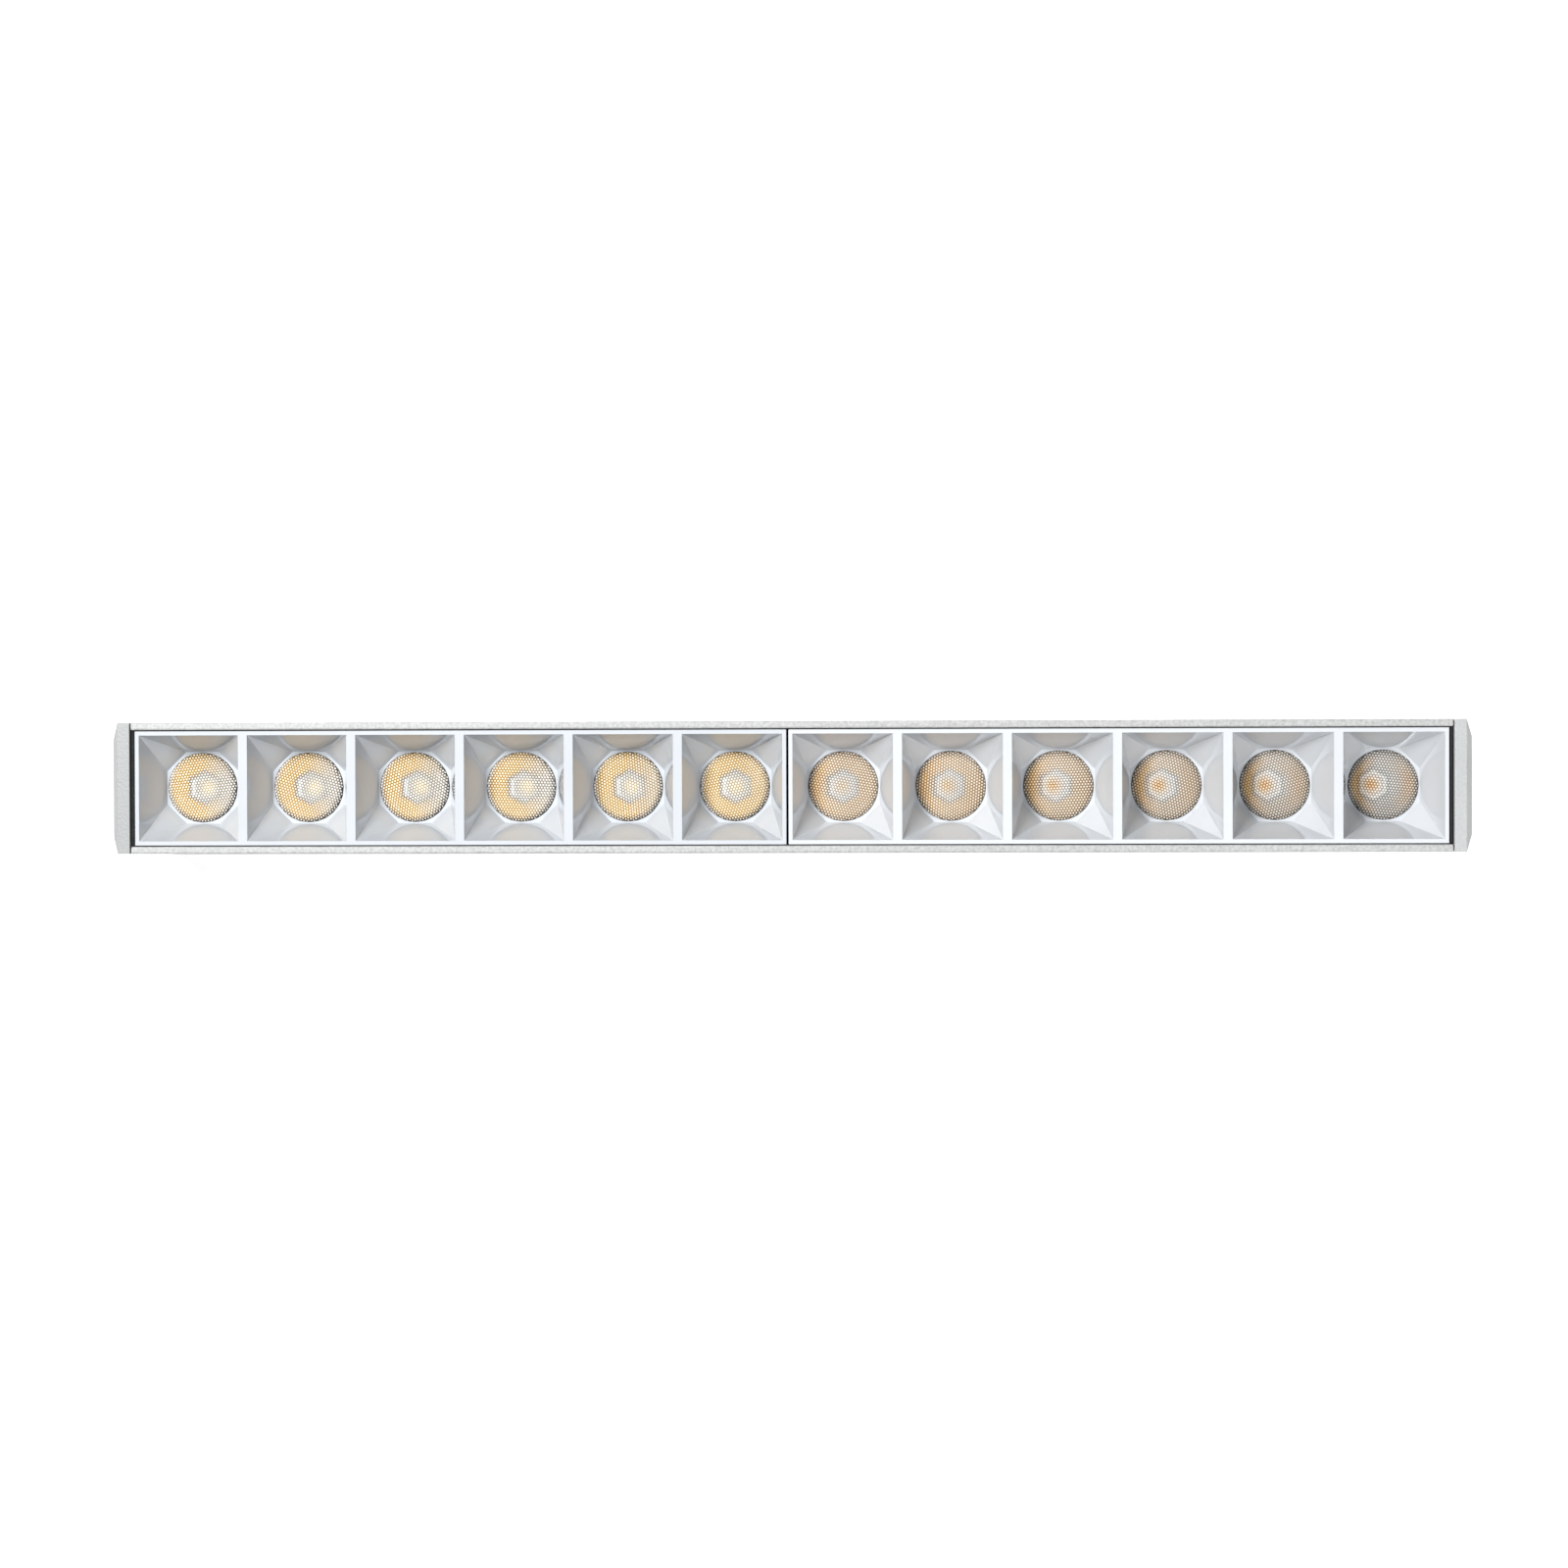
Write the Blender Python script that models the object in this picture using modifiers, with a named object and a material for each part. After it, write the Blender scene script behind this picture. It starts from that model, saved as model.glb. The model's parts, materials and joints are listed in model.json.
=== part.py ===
"""LED strip batten: a slim linear luminaire with twelve lensed cells, lying on its mounting clips.

X runs along the batten, Y across it, and +Z is the way the light leaves. The origin is at the
middle of the plane that the mounting clips rest on. All sizes are in metres.
"""

import math

import bmesh
import bpy
from mathutils import Matrix, Vector

# Overall sizes and the gap kept between pieces that touch
LENGTH = 0.3616
WIDTH = 0.0350
HEIGHT = 0.0575
GAP = 0.0003

# End caps
CAP_THICKNESS = 0.0054
CAP_JOINT = 0.0004
CAP_BEVEL_DEPTH = 0.0022
CAP_BEVEL_INSET = 0.0044
SEAL_THICKNESS = 0.0008
SEAL_HALF_WIDTH = 0.0152
SEAL_DROP = 0.0006

# Reflector grille modules
MODULES = 2
CELLS_PER_MODULE = 6
CELL_PITCH = 0.0290
CELL_LENGTH = 0.0266
CELL_WIDTH = 0.0282
MODULE_LENGTH = 0.1737
MODULE_WIDTH = 0.0304
MODULE_JOINT = 0.0006
RIM_DROP = 0.0004
RIM_THICKNESS = 0.0012
GRILLE_WALL = 0.0010
SHELL_X = 0.0009
SHELL_Y = 0.0009
LENS_DEPTH = 0.0165
MOUTH_ACROSS_FLATS = 0.0195
MOUTH_FLAT = 0.0089
FLOOR_THICKNESS = 0.0010
FLOOR_HOLE_RADIUS = 0.0095
LUG_SIZE = (0.0080, 0.0012, 0.0014)
LUG_DEPTH = 0.0150
LUG_SPACING = 0.0580

# Lenses
LENS_RADIUS = 0.00935
LENS_CROWN = 0.0006
LENS_BODY = 0.0102
LENS_FLANGE_RADIUS = 0.0103
LENS_FLANGE_THICKNESS = 0.0012
LENS_FOOT_RADIUS = 0.0042
LENS_RECESS_RADIUS = 0.0030
LENS_RECESS_DEPTH = 0.0034

# LED packages and boards
LED_SIDE = 0.0034
LED_BASE = 0.0005
LED_DOME_RADIUS = 0.0013
BOARD_THICKNESS = 0.0016
BOARD_WIDTH = 0.0260
BOARD_INNER_END = 0.0045
BOARD_OUTER_END = 0.1730

# Housing section
WALL = 0.0020
WEB_THICKNESS = 0.0022
LEDGE_REACH = 0.0016
LEDGE_THICKNESS = 0.0012
LEDGE_RISE = 0.0045
EDGE_CHAMFER = 0.0003
SNAP_GROOVE_DEPTH = 0.0007
SNAP_GROOVE_HEIGHT = 0.0024
BACK_HALF_WIDTH = 0.0159
BACK_STEP_BOTTOM = 0.0125
BACK_STEP_TOP = 0.0141
BAY_HALF_WIDTH = 0.0133
CLIP_GROOVE = (0.0086, 0.0109)
CLIP_GROOVE_DEPTH = 0.0011
COVER_SLOT = (0.0026, 0.0044)
COVER_SLOT_HALF_WIDTH = 0.0146
COVER_LIP_HALF_WIDTH = 0.0130
PORT_BLOCK_INNER = 0.0070
PORT_BLOCK_HEIGHT = 0.0055
PORT_Y = 0.0100
PORT_RADIUS = 0.0013
WIRE_HOLE_X = 0.0870
WIRE_HOLE_RADIUS = 0.0032

# Screws
CAP_SCREW_HEAD = (0.0025, 0.0012)
CAP_SCREW_SHANK = (0.0010, 0.0120)
CAP_COUNTERBORE = (0.0028, 0.0015)
CAP_HOLE_RADIUS = 0.0014
BOARD_SCREW_HEAD = (0.0026, 0.0016)
BOARD_SCREW_SHANK = (0.0012, 0.0044)
BOARD_HOLE_RADIUS = 0.0016
SOCKET_RADIUS = 0.0012
SOCKET_DEPTH = 0.0008

# Mounting clips
CLIP_THICKNESS = 0.0010
CLIP_LENGTH = 0.0200
CLIP_X = 0.1100
CLIP_EAR_INNER = 0.0164
CLIP_EAR_TOP = 0.0118
CLIP_HOOK_TIP = 0.0151
CLIP_HOOK = (0.0091, 0.0103)
CLIP_SLOT_LENGTH = 0.0090
CLIP_SLOT_WIDTH = 0.0048
CLIP_TO_HOUSING = 0.0004

# Back cover and cable grommet
COVER_THICKNESS = 0.0012
COVER_WIDTH = 0.0286
GROMMET_X = -0.1560
GROMMET_BORE_RADIUS = 0.0036
GROMMET_NECK_RADIUS = 0.0048
GROMMET_FLANGE_RADIUS = 0.0068
GROMMET_FLANGE = 0.0010

# Driver
DRIVER_X = (-0.0700, 0.0700)
DRIVER_HALF_WIDTH = 0.0120
DRIVER_Z = (0.0050, 0.0198)
DRIVER_ROUNDING = 0.0012
FOOT_HALF_WIDTH = 0.0064
FOOT_OVERLAP = 0.0020
FOOT_LENGTH_SHARE = 0.8

# Terminal block
TERMINAL_X = (-0.1400, -0.1200)
TERMINAL_HALF_WIDTH = 0.0115
TERMINAL_BACK = 0.0090
POLE_PITCH = 0.0072
POLE_HOLE_RADIUS = 0.0014
POLE_HOLE_DEPTH = 0.0050
POLE_HOLE_Z = 0.0172
BUTTON_SIDE = 0.0040
BUTTON_PROUD = 0.0018
BUTTON_LENGTH = 0.0056
BUTTON_WELL = 0.0060

# Leads
LEAD_RADIUS = 0.0009
THIN_LEAD_RADIUS = 0.0006

FLOOR_STEPS = 24
ROUND_STEPS = 16
SMALL_STEPS = 12

# Levels worked out from the sizes above
HOUSING_BACK = CLIP_THICKNESS + CLIP_TO_HOUSING
HOUSING_LENGTH = LENGTH - 2 * (CAP_THICKNESS + CAP_JOINT)
RIM_TOP = HEIGHT - RIM_DROP
LENS_PLANE = RIM_TOP - LENS_DEPTH
BOARD_TOP = LENS_PLANE - LENS_BODY - GAP
BOARD_BOTTOM = BOARD_TOP - BOARD_THICKNESS
WEB_TOP = BOARD_BOTTOM - GAP
WEB_BOTTOM = WEB_TOP - WEB_THICKNESS
PORT_Z = WEB_BOTTOM - PORT_BLOCK_HEIGHT / 2
LEDGE_TOP = BOARD_TOP + LEDGE_RISE
SKIRT_BOTTOM = LEDGE_TOP + GAP
SNAP_Z = RIM_TOP - LUG_DEPTH

parts = bpy.data.collections.new("led strip batten")
cutters = bpy.data.collections.new("cutters")


def start_scene():
    """Empty the scene and link the two collections."""
    for old in list(bpy.data.objects):
        bpy.data.objects.remove(old)
    bpy.context.scene.collection.children.link(parts)
    bpy.context.scene.collection.children.link(cutters)


def material(name, colour, roughness, metallic=0.0):
    """A Principled material of one colour."""
    made = bpy.data.materials.new(name)
    made.use_nodes = True
    shader = made.node_tree.nodes["Principled BSDF"]
    shader.inputs["Base Color"].default_value = (*colour, 1.0)
    shader.inputs["Roughness"].default_value = roughness
    shader.inputs["Metallic"].default_value = metallic
    made.diffuse_color = (*colour, 1.0)
    return made


def add(name, mesh, finish=None, at=(0, 0, 0), turn=(0, 0, 0)):
    """Place a mesh as a part, or as a cutter when it has no material."""
    made = bpy.data.objects.new(name, mesh)
    made.location = at
    made.rotation_euler = turn
    if finish is None:
        made.hide_render = True
        made.display_type = "WIRE"
        cutters.objects.link(made)
    else:
        if not mesh.materials:
            mesh.materials.append(finish)
        parts.objects.link(made)
    return made


def box_mesh(name, size, centre=(0, 0, 0)):
    """A box about a centre in its own frame."""
    mesh = bpy.data.meshes.new(name)
    work = bmesh.new()
    place = Matrix.Translation(centre) @ Matrix.Diagonal((*size, 1.0))
    bmesh.ops.create_cube(work, size=1.0, matrix=place)
    work.to_mesh(mesh)
    work.free()
    return mesh


def split_along_x(mesh, places):
    """Cut a mesh's faces at each X, so that a long part has no long thin triangles."""
    work = bmesh.new()
    work.from_mesh(mesh)
    for x in places:
        everything = list(work.verts) + list(work.edges) + list(work.faces)
        bmesh.ops.bisect_plane(work, geom=everything, plane_co=(x, 0, 0), plane_no=(1, 0, 0))
    work.to_mesh(mesh)
    work.free()
    return mesh


def rod_mesh(name, radius, length, steps=SMALL_STEPS):
    """A cylinder along Z, centred on its origin."""
    mesh = bpy.data.meshes.new(name)
    work = bmesh.new()
    bmesh.ops.create_cone(
        work, cap_ends=True, segments=steps, radius1=radius, radius2=radius, depth=length
    )
    work.to_mesh(mesh)
    work.free()
    return mesh


def hull_mesh(name, points):
    """The convex solid through a set of corner points."""
    mesh = bpy.data.meshes.new(name)
    work = bmesh.new()
    for point in points:
        work.verts.new(point)
    bmesh.ops.convex_hull(work, input=work.verts)
    bmesh.ops.dissolve_limit(
        work, angle_limit=math.radians(0.5), verts=work.verts, edges=work.edges
    )
    bmesh.ops.recalc_face_normals(work, faces=work.faces)
    work.to_mesh(mesh)
    work.free()
    return mesh


def evaluated_mesh(source, name):
    """The mesh that an object's modifiers or curve settings make, welded where its caps meet."""
    graph = bpy.context.evaluated_depsgraph_get()
    mesh = bpy.data.meshes.new_from_object(source.evaluated_get(graph))
    mesh.name = name
    work = bmesh.new()
    work.from_mesh(mesh)
    bmesh.ops.remove_doubles(work, verts=work.verts, dist=1e-6)
    bmesh.ops.recalc_face_normals(work, faces=work.faces)
    work.to_mesh(mesh)
    work.free()
    return mesh


def outline_mesh(name, outlines, length):
    """A flat outline with any holes, drawn in XY and extruded along Z about its middle."""
    curve = bpy.data.curves.new(name, "CURVE")
    curve.dimensions = "2D"
    curve.fill_mode = "BOTH"
    curve.extrude = length / 2
    for outline in outlines:
        spline = curve.splines.new("POLY")
        spline.points.add(len(outline) - 1)
        for point, (x, y) in zip(spline.points, outline):
            point.co = (x, y, 0.0, 1.0)
        spline.use_cyclic_u = True
    source = bpy.data.objects.new(name, curve)
    cutters.objects.link(source)
    mesh = evaluated_mesh(source, name)
    bpy.data.objects.remove(source)
    bpy.data.curves.remove(curve)
    return mesh


def turned_mesh(name, profile, steps=ROUND_STEPS):
    """A profile of (radius, z) points from the top down, turned about Z."""
    mesh = bpy.data.meshes.new(name)
    corners = [(radius, 0.0, z) for radius, z in profile]
    mesh.from_pydata(corners, [(i, i + 1) for i in range(len(corners) - 1)], [])
    source = bpy.data.objects.new(name, mesh)
    cutters.objects.link(source)
    screw = source.modifiers.new("Turn", "SCREW")
    screw.axis = "Z"
    screw.steps = steps
    screw.render_steps = steps
    screw.use_merge_vertices = True
    screw.merge_threshold = 1e-6
    turned = evaluated_mesh(source, name)
    bpy.data.objects.remove(source)
    turned.shade_smooth()
    turned.set_sharp_from_angle(angle=math.radians(35))
    return turned


def boolean(target, other, operation):
    """Cut a piece from the target, or join it on. Other is one cutter or a collection of them."""
    step = target.modifiers.new(operation.title(), "BOOLEAN")
    step.operation = operation
    step.solver = "EXACT"
    if isinstance(other, bpy.types.Collection):
        step.operand_type = "COLLECTION"
        step.collection = other
    else:
        step.object = other


def cutter_group(name, members):
    """A collection of cutters, so that one Boolean uses them all."""
    group = bpy.data.collections.new(name)
    cutters.children.link(group)
    for member in members:
        cutters.objects.unlink(member)
        group.objects.link(member)
    return group


def circle(radius, centre, steps=SMALL_STEPS):
    """Points of a circle in the drawing plane."""
    turns = [2 * math.pi * i / steps for i in range(steps)]
    return [
        (centre[0] + radius * math.cos(a), centre[1] + radius * math.sin(a)) for a in turns
    ]


def slot_outline(length, width, steps=SMALL_STEPS):
    """Points of a slot with round ends, long along drawn Y."""
    straight = (length - width) / 2
    half_turn = [math.pi * i / steps for i in range(steps + 1)]
    upper = [
        (width / 2 * math.cos(a), straight + width / 2 * math.sin(a)) for a in half_turn
    ]
    return upper + [(-x, -y) for x, y in upper]


def mirrored(points):
    """A right half outline, from its foot up, closed with its mirror image."""
    return points + [(-y, z) for y, z in reversed(points)]


# The drawing plane of an extrusion along X: drawn X becomes Y, and drawn Y becomes Z
ALONG_X = (math.pi / 2, 0, math.pi / 2)

COAT = material("white powder coat", (0.86, 0.86, 0.85), 0.62)
CAP_COAT = material("cap powder coat", (0.84, 0.84, 0.84), 0.60)
GLOSS = material("gloss white reflector", (0.93, 0.93, 0.92), 0.12)
ACRYLIC = material("clear acrylic", (0.93, 0.72, 0.36), 0.08)
PHOSPHOR = material("led phosphor", (0.95, 0.66, 0.12), 0.45)
SOLDER_MASK = material("white solder mask", (0.88, 0.88, 0.86), 0.40)
STEEL = material("zinc plated steel", (0.70, 0.71, 0.72), 0.30, 1.0)
SPRING_STEEL = material("stainless spring steel", (0.62, 0.62, 0.61), 0.28, 1.0)
COVER_COAT = material("cover powder coat", (0.80, 0.80, 0.79), 0.60)
DRIVER_SHELL = material("driver case plastic", (0.82, 0.82, 0.80), 0.50)
TERMINAL_SHELL = material("terminal block plastic", (0.55, 0.57, 0.58), 0.45)
BUTTON_PLASTIC = material("terminal button plastic", (0.90, 0.38, 0.06), 0.35)
RUBBER = material("black rubber", (0.03, 0.03, 0.03), 0.75)
LEAD_COLOURS = {
    "brown": material("brown lead", (0.22, 0.09, 0.04), 0.50),
    "blue": material("blue lead", (0.05, 0.16, 0.55), 0.50),
    "green": material("green lead", (0.25, 0.50, 0.08), 0.50),
    "red": material("red lead", (0.65, 0.04, 0.03), 0.50),
    "black": material("black lead", (0.03, 0.03, 0.03), 0.50),
}


def module_centre(module):
    """X of a grille module's middle."""
    return (module - (MODULES - 1) / 2) * (MODULE_LENGTH + MODULE_JOINT)


def cell_offset(cell):
    """X of a cell's middle, from its module's middle."""
    return (cell - (CELLS_PER_MODULE - 1) / 2) * CELL_PITCH


def every_cell():
    """Number and X of each cell along the batten."""
    for module in range(MODULES):
        for cell in range(CELLS_PER_MODULE):
            number = module * CELLS_PER_MODULE + cell + 1
            yield number, module_centre(module) + cell_offset(cell)


def board_screw_places():
    """X of the screws, which stand between the outer cells of each module."""
    for module in range(MODULES):
        for side in (-1, 1):
            yield module_centre(module) + side * 2 * CELL_PITCH


def housing_section():
    """Half of the housing's section, from its back middle edge round to the web."""
    inner = WIDTH / 2 - WALL
    outer = WIDTH / 2
    groove_floor = BACK_HALF_WIDTH - CLIP_GROOVE_DEPTH
    snap_low = SNAP_Z - SNAP_GROOVE_HEIGHT / 2
    snap_high = SNAP_Z + SNAP_GROOVE_HEIGHT / 2
    block_bottom = WEB_BOTTOM - PORT_BLOCK_HEIGHT
    back = [
        (BAY_HALF_WIDTH, block_bottom),
        (BAY_HALF_WIDTH, COVER_SLOT[1]),
        (COVER_SLOT_HALF_WIDTH, COVER_SLOT[1]),
        (COVER_SLOT_HALF_WIDTH, COVER_SLOT[0]),
        (COVER_LIP_HALF_WIDTH, COVER_SLOT[0]),
        (COVER_LIP_HALF_WIDTH, HOUSING_BACK),
    ]
    side = [
        (BACK_HALF_WIDTH, HOUSING_BACK),
        (BACK_HALF_WIDTH, CLIP_GROOVE[0]),
        (groove_floor, CLIP_GROOVE[0]),
        (groove_floor, CLIP_GROOVE[1]),
        (BACK_HALF_WIDTH, CLIP_GROOVE[1]),
        (BACK_HALF_WIDTH, BACK_STEP_BOTTOM),
        (outer, BACK_STEP_TOP),
        (outer, HEIGHT - EDGE_CHAMFER),
        (outer - EDGE_CHAMFER, HEIGHT),
        (inner + EDGE_CHAMFER, HEIGHT),
        (inner, HEIGHT - EDGE_CHAMFER),
    ]
    front_bay = [
        (inner, snap_high),
        (inner + SNAP_GROOVE_DEPTH, snap_high),
        (inner + SNAP_GROOVE_DEPTH, snap_low),
        (inner, snap_low),
        (inner, LEDGE_TOP),
        (inner - LEDGE_REACH, LEDGE_TOP),
        (inner - LEDGE_REACH, LEDGE_TOP - LEDGE_THICKNESS),
        (inner, LEDGE_TOP - LEDGE_THICKNESS),
        (inner, WEB_TOP),
    ]
    web_foot = [(PORT_BLOCK_INNER, WEB_BOTTOM), (PORT_BLOCK_INNER, block_bottom)]
    return web_foot + back + side + front_bay


def build_housing():
    """Extruded profile: two walls, a web between them, and a port for each cap screw."""
    ports = [circle(PORT_RADIUS, (side * PORT_Y, PORT_Z)) for side in (-1, 1)]
    mesh = outline_mesh("housing", [mirrored(housing_section())] + ports, HOUSING_LENGTH)
    housing = add("housing", mesh, COAT, turn=ALONG_X)
    depth = 3 * WEB_THICKNESS
    web_middle = (WEB_TOP + WEB_BOTTOM) / 2
    holes = []
    for x in board_screw_places():
        drill = rod_mesh("web screw hole", BOARD_HOLE_RADIUS, depth)
        holes.append(add("web screw hole", drill, at=(x, 0, web_middle)))
    wire = rod_mesh("web wire hole", WIRE_HOLE_RADIUS, depth, ROUND_STEPS)
    holes.append(add("web wire hole", wire, at=(WIRE_HOLE_X, 0, web_middle)))
    boolean(housing, cutter_group("housing holes", holes), "DIFFERENCE")


def cap_mesh():
    """End cap with a shallow four-sided bevel on its outer face, which points along +X."""
    half = (WIDTH / 2, (HEIGHT - HOUSING_BACK) / 2)
    levels = [
        (0.0, 0.0),
        (CAP_THICKNESS - CAP_BEVEL_DEPTH, 0.0),
        (CAP_THICKNESS, CAP_BEVEL_INSET),
    ]
    corners = [
        (x, sy * (half[0] - inset), sz * (half[1] - inset))
        for x, inset in levels
        for sy in (-1, 1)
        for sz in (-1, 1)
    ]
    return hull_mesh("end cap", corners)


def build_end_caps():
    """Two end caps, each held by two screws in the housing's ports."""
    middle = (HEIGHT + HOUSING_BACK) / 2
    for side, label in ((-1, "left"), (1, "right")):
        turn = (0, 0, 0 if side > 0 else math.pi)
        start = side * (LENGTH / 2 - CAP_THICKNESS)
        cap = add(f"end_cap_{label}", cap_mesh(), CAP_COAT, at=(start, 0, middle), turn=turn)
        holes = []
        for across in (-1, 1):
            drill = rod_mesh("cap hole", CAP_HOLE_RADIUS, 4 * CAP_THICKNESS)
            place = (start, across * PORT_Y, PORT_Z)
            holes.append(add("cap hole", drill, at=place, turn=(0, math.pi / 2, 0)))
            bore_radius, bore_depth = CAP_COUNTERBORE
            bore = rod_mesh("cap counterbore", bore_radius, 2 * bore_depth, ROUND_STEPS)
            place = (side * LENGTH / 2, across * PORT_Y, PORT_Z)
            holes.append(add("cap counterbore", bore, at=place, turn=(0, math.pi / 2, 0)))
        boolean(cap, cutter_group(f"cap holes {label}", holes), "DIFFERENCE")


def build_end_seals():
    """Black foam seals that fill the gaps between the grilles and the end caps."""
    high = RIM_TOP - SEAL_DROP
    size = (SEAL_THICKNESS, 2 * SEAL_HALF_WIDTH, high - SKIRT_BOTTOM)
    inner_end = MODULES * MODULE_LENGTH / 2 + MODULE_JOINT / 2 + GAP
    middle = inner_end + SEAL_THICKNESS / 2
    for side, label in ((-1, "left"), (1, "right")):
        mesh = box_mesh("end seal", size)
        place = (side * middle, 0, (high + SKIRT_BOTTOM) / 2)
        add(f"end_seal_{label}", mesh, RUBBER, at=place)


def screw_mesh(name, head, shank):
    """Button head screw along Z, its head up, with a hexagon socket. Zero is under the head."""
    head_radius, head_height = head
    shank_radius, shank_length = shank
    profile = [
        (0.0, head_height),
        (0.55 * head_radius, 0.94 * head_height),
        (0.88 * head_radius, 0.60 * head_height),
        (head_radius, 0.0),
        (shank_radius, 0.0),
        (shank_radius, -0.9 * shank_length),
        (0.0, -shank_length),
    ]
    blank = add(f"{name} blank", turned_mesh(name, profile, SMALL_STEPS))
    socket = rod_mesh(f"{name} socket", SOCKET_RADIUS, 2 * SOCKET_DEPTH, 6)
    boolean(blank, add(f"{name} socket", socket, at=(0, 0, head_height)), "DIFFERENCE")
    mesh = evaluated_mesh(blank, name)
    bpy.data.objects.remove(blank)
    mesh.materials.clear()
    return mesh


def build_screws():
    """Cap screws along X, board screws along Z."""
    cap_screw = screw_mesh("cap screw", CAP_SCREW_HEAD, CAP_SCREW_SHANK)
    seat = LENGTH / 2 - CAP_COUNTERBORE[1] + GAP
    number = 0
    for side in (-1, 1):
        for across in (-1, 1):
            number += 1
            place = (side * seat, across * PORT_Y, PORT_Z)
            add(f"cap_screw_{number}", cap_screw, STEEL, place, (0, side * math.pi / 2, 0))
    board_screw = screw_mesh("board screw", BOARD_SCREW_HEAD, BOARD_SCREW_SHANK)
    for number, x in enumerate(board_screw_places(), 1):
        add(f"board_screw_{number}", board_screw, STEEL, (x, 0, BOARD_TOP + GAP))


def mouth_corners(grow, z):
    """Octagonal lower end of a cell, made larger all round by grow."""
    reach = MOUTH_ACROSS_FLATS / 2 + grow
    half_flat = MOUTH_FLAT / 2 + grow * math.tan(math.radians(22.5))
    return [
        (sx * x, sy * y, z)
        for x, y in ((reach, half_flat), (half_flat, reach))
        for sx in (-1, 1)
        for sy in (-1, 1)
    ]


def rim_corners(grow_x, grow_y, z):
    """Rectangular upper end of a cell, made larger by grow_x and grow_y."""
    half_x, half_y = CELL_LENGTH / 2 + grow_x, CELL_WIDTH / 2 + grow_y
    return [(sx * half_x, sy * half_y, z) for sx in (-1, 1) for sy in (-1, 1)]


def grille_mesh():
    """Six funnels in one moulding, square at the rim, over octagonal floors with round holes."""
    mouth = LENS_PLANE - GAP
    skirt_height = RIM_TOP - SKIRT_BOTTOM
    size = (MODULE_LENGTH, MODULE_WIDTH, skirt_height)
    middle = SKIRT_BOTTOM + skirt_height / 2
    dividers = [cell_offset(cell) + CELL_PITCH / 2 for cell in range(CELLS_PER_MODULE - 1)]
    body = split_along_x(box_mesh("grille blank", size, (0, 0, middle)), dividers)
    blank = add("grille blank", body)
    hollow = (MODULE_LENGTH - 2 * GRILLE_WALL, MODULE_WIDTH - 2 * GRILLE_WALL, skirt_height)
    room = add("grille hollow", box_mesh("grille hollow", hollow))
    room.location = (0, 0, middle - RIM_THICKNESS)
    boolean(blank, room, "DIFFERENCE")
    shells, funnels, throats = [], [], []
    for cell in range(CELLS_PER_MODULE):
        place = (cell_offset(cell), 0, 0)
        shell = rim_corners(SHELL_X, SHELL_Y, RIM_TOP - GAP)
        shell += mouth_corners(GRILLE_WALL, mouth)
        shell += mouth_corners(GRILLE_WALL, mouth - FLOOR_THICKNESS)
        shells.append(add("cell shell", hull_mesh("cell shell", shell), at=place))
        funnel = rim_corners(0, 0, RIM_TOP + WALL) + rim_corners(0, 0, RIM_TOP)
        funnel += mouth_corners(0, mouth)
        funnels.append(add("cell funnel", hull_mesh("cell funnel", funnel), at=place))
        throat = rod_mesh("cell throat", FLOOR_HOLE_RADIUS, 4 * FLOOR_THICKNESS, FLOOR_STEPS)
        throats.append(add("cell throat", throat, at=(cell_offset(cell), 0, mouth)))
    for side in (-1, 1):
        for step in (-1, 0, 1):
            lug = add("snap lug", box_mesh("snap lug", LUG_SIZE))
            lug.location = (step * LUG_SPACING, side * MODULE_WIDTH / 2, SNAP_Z)
            shells.append(lug)
    boolean(blank, cutter_group("cell shells", shells), "UNION")
    boolean(blank, cutter_group("cell funnels", funnels), "DIFFERENCE")
    boolean(blank, cutter_group("cell throats", throats), "DIFFERENCE")
    mesh = evaluated_mesh(blank, "grille")
    bpy.data.objects.remove(blank)
    mesh.materials.clear()
    return mesh


def build_grilles():
    """Two grille modules end to end."""
    mesh = grille_mesh()
    for module, label in enumerate(("left", "right")):
        add(f"grille_{label}", mesh, GLOSS, at=(module_centre(module), 0, 0))


def lens_mesh():
    """Total reflection lens: crowned front, flange under the cell, and a recess for the LED."""
    flange_top = -(GAP + FLOOR_THICKNESS + GAP)
    flange_bottom = flange_top - LENS_FLANGE_THICKNESS
    recess_top = LENS_RECESS_DEPTH - LENS_BODY
    profile = [
        (0.0, LENS_CROWN),
        (0.5 * LENS_RADIUS, 0.75 * LENS_CROWN),
        (0.96 * LENS_RADIUS, 0.0),
        (LENS_RADIUS, -GAP),
        (LENS_RADIUS, flange_top),
        (LENS_FLANGE_RADIUS, flange_top),
        (LENS_FLANGE_RADIUS, flange_bottom),
        (0.95 * LENS_RADIUS, flange_bottom),
        (0.80 * LENS_RADIUS, -0.5 * LENS_BODY),
        (LENS_FOOT_RADIUS, -LENS_BODY),
        (LENS_RECESS_RADIUS, -LENS_BODY),
        (0.85 * LENS_RECESS_RADIUS, recess_top),
        (0.0, recess_top + GAP),
    ]
    return turned_mesh("lens", profile)


def led_mesh():
    """LED package: a square base under a low phosphor dome."""
    middle = LED_BASE / 2
    base = box_mesh("led blank", (LED_SIDE, LED_SIDE, LED_BASE), (0, 0, middle))
    blank = add("led blank", base)
    crown = 0.5 * LED_DOME_RADIUS
    profile = [
        (0.0, LED_BASE + crown),
        (0.6 * LED_DOME_RADIUS, LED_BASE + 0.8 * crown),
        (LED_DOME_RADIUS, LED_BASE),
        (LED_DOME_RADIUS, middle),
        (0.0, middle),
    ]
    dome = add("led dome", turned_mesh("led dome", profile, SMALL_STEPS))
    boolean(blank, dome, "UNION")
    mesh = evaluated_mesh(blank, "led")
    bpy.data.objects.remove(blank)
    mesh.materials.clear()
    return mesh


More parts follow.
